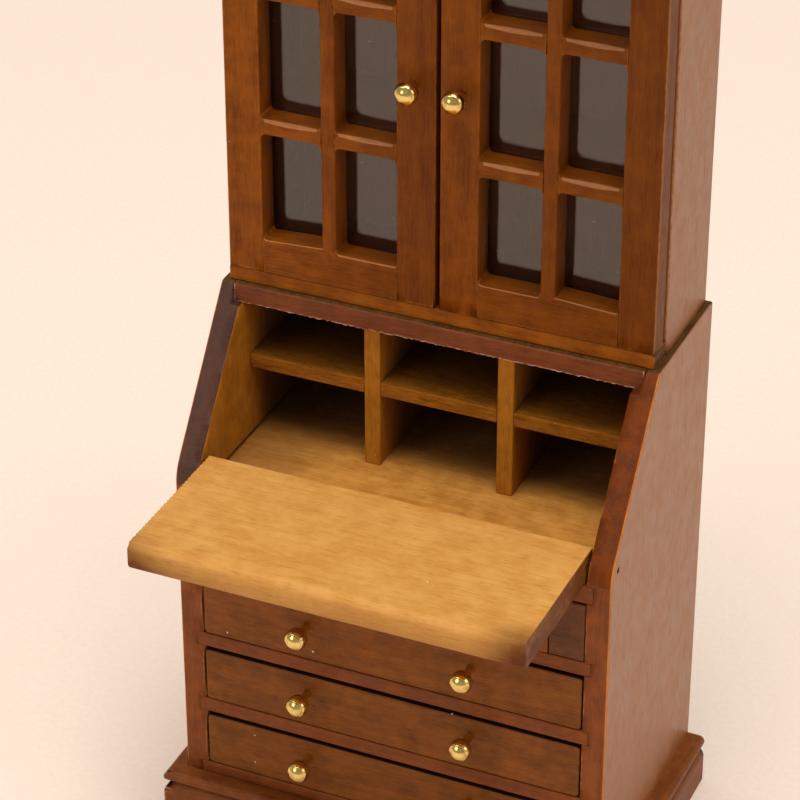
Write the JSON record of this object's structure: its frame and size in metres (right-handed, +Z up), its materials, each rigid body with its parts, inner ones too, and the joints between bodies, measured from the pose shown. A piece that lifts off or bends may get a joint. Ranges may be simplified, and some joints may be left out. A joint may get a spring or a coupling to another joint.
{
  "type": "miniature bureau bookcase",
  "caption": "Dolls house bureau bookcase: open fall-front desk with pigeonholes, pull-out supports and drawers under a glazed two-door bookcase.",
  "frame": {"origin": "on the floor, under the middle of the whole piece with its fall board open", "axes": "+Z up, -Y towards the user at the front, +X to the right seen from the front"},
  "size_m": [0.0866, 0.0724, 0.19],
  "materials": {
    "carcase_wood": "stained and lacquered, satin",
    "door_wood": "stained and lacquered, satin",
    "drawer_wood": "stained and lacquered, satin",
    "interior_wood": "thinly stained, satin",
    "fall_wood": "honey stain, satin lacquer",
    "knob_brass": "polished",
    "pin_steel": "plain wire",
    "pane_glass": "clear, glossy"
  },
  "bodies": {
    "carcase": {"desk_side_left": "carcase_wood", "desk_side_right": "carcase_wood", "desk_back": "carcase_wood", "desk_top": "carcase_wood", "desk_bottom": "carcase_wood", "drawer_board_lower": "carcase_wood", "drawer_board_middle": "carcase_wood", "drawer_board_upper": "carcase_wood", "front_rail": "carcase_wood", "writing_floor": "interior_wood", "loper_guide_left": "carcase_wood", "loper_guide_right": "carcase_wood", "pigeonhole_divider_left": "interior_wood", "pigeonhole_divider_right": "interior_wood", "pigeonhole_shelves": "interior_wood", "base_moulding": "carcase_wood", "plinth_front": "carcase_wood", "plinth_left": "carcase_wood", "plinth_right": "carcase_wood", "plinth_back": "carcase_wood", "bookcase_sill": "door_wood", "bookcase_head": "door_wood", "bookcase_side_left": "door_wood", "bookcase_side_right": "door_wood", "bookcase_bottom": "interior_wood", "bookcase_top": "door_wood", "bookcase_back": "interior_wood", "bookcase_shelves": "interior_wood", "cornice_cap": "door_wood", "cornice_mouldings": "door_wood"},
    "fall": {"fall_board": "fall_wood", "fall_hinge_pins": "pin_steel"},
    "door_left": {"door_left_hinge_stile": "door_wood", "door_left_meeting_stile": "door_wood", "door_left_rails": "door_wood", "door_left_glazing_bars": "door_wood", "door_left_glass": "pane_glass", "door_left_pivot_pins": "pin_steel", "door_left_knob": "knob_brass"},
    "door_right": {"door_right_hinge_stile": "door_wood", "door_right_meeting_stile": "door_wood", "door_right_rails": "door_wood", "door_right_glazing_bars": "door_wood", "door_right_glass": "pane_glass", "door_right_pivot_pins": "pin_steel", "door_right_knob": "knob_brass"},
    "drawer_lower": {"drawer_lower_front": "drawer_wood", "drawer_lower_box": "interior_wood", "drawer_lower_knobs": "knob_brass"},
    "drawer_middle": {"drawer_middle_front": "drawer_wood", "drawer_middle_box": "interior_wood", "drawer_middle_knobs": "knob_brass"},
    "drawer_upper": {"drawer_upper_front": "drawer_wood", "drawer_upper_box": "interior_wood", "drawer_upper_knobs": "knob_brass"},
    "drawer_small": {"drawer_small_front": "drawer_wood", "drawer_small_box": "interior_wood", "drawer_small_knobs": "knob_brass"},
    "loper_left": {"loper_left": "drawer_wood"},
    "loper_right": {"loper_right": "drawer_wood"}
  },
  "joints": [
    {"name": "fall_hinge", "type": "hinge", "parent": "carcase", "child": "fall", "pos_m": [0, -0.0071, 0.0728], "axis": [-1, 0, 0], "range_deg": [0, 124]},
    {"name": "door_left_hinge", "type": "hinge", "parent": "carcase", "child": "door_left", "pos_m": [-0.0374, 0.014, 0.1442], "axis": [0, 0, -1], "range_deg": [0, 95]},
    {"name": "door_right_hinge", "type": "hinge", "parent": "carcase", "child": "door_right", "pos_m": [0.0374, 0.014, 0.1442], "axis": [0, 0, 1], "range_deg": [0, 95]},
    {"name": "drawer_lower_slide", "type": "slide", "parent": "carcase", "child": "drawer_lower", "axis": [0, -1, 0], "range_m": [0, 0.028]},
    {"name": "drawer_middle_slide", "type": "slide", "parent": "carcase", "child": "drawer_middle", "axis": [0, -1, 0], "range_m": [0, 0.028]},
    {"name": "drawer_upper_slide", "type": "slide", "parent": "carcase", "child": "drawer_upper", "axis": [0, -1, 0], "range_m": [0, 0.028]},
    {"name": "drawer_small_slide", "type": "slide", "parent": "carcase", "child": "drawer_small", "axis": [0, -1, 0], "range_m": [0, 0.028]},
    {"name": "loper_left_slide", "type": "slide", "parent": "carcase", "child": "loper_left", "axis": [0, -1, 0], "range_m": [0, 0.025]},
    {"name": "loper_right_slide", "type": "slide", "parent": "carcase", "child": "loper_right", "axis": [0, -1, 0], "range_m": [0, 0.025]}
  ]
}
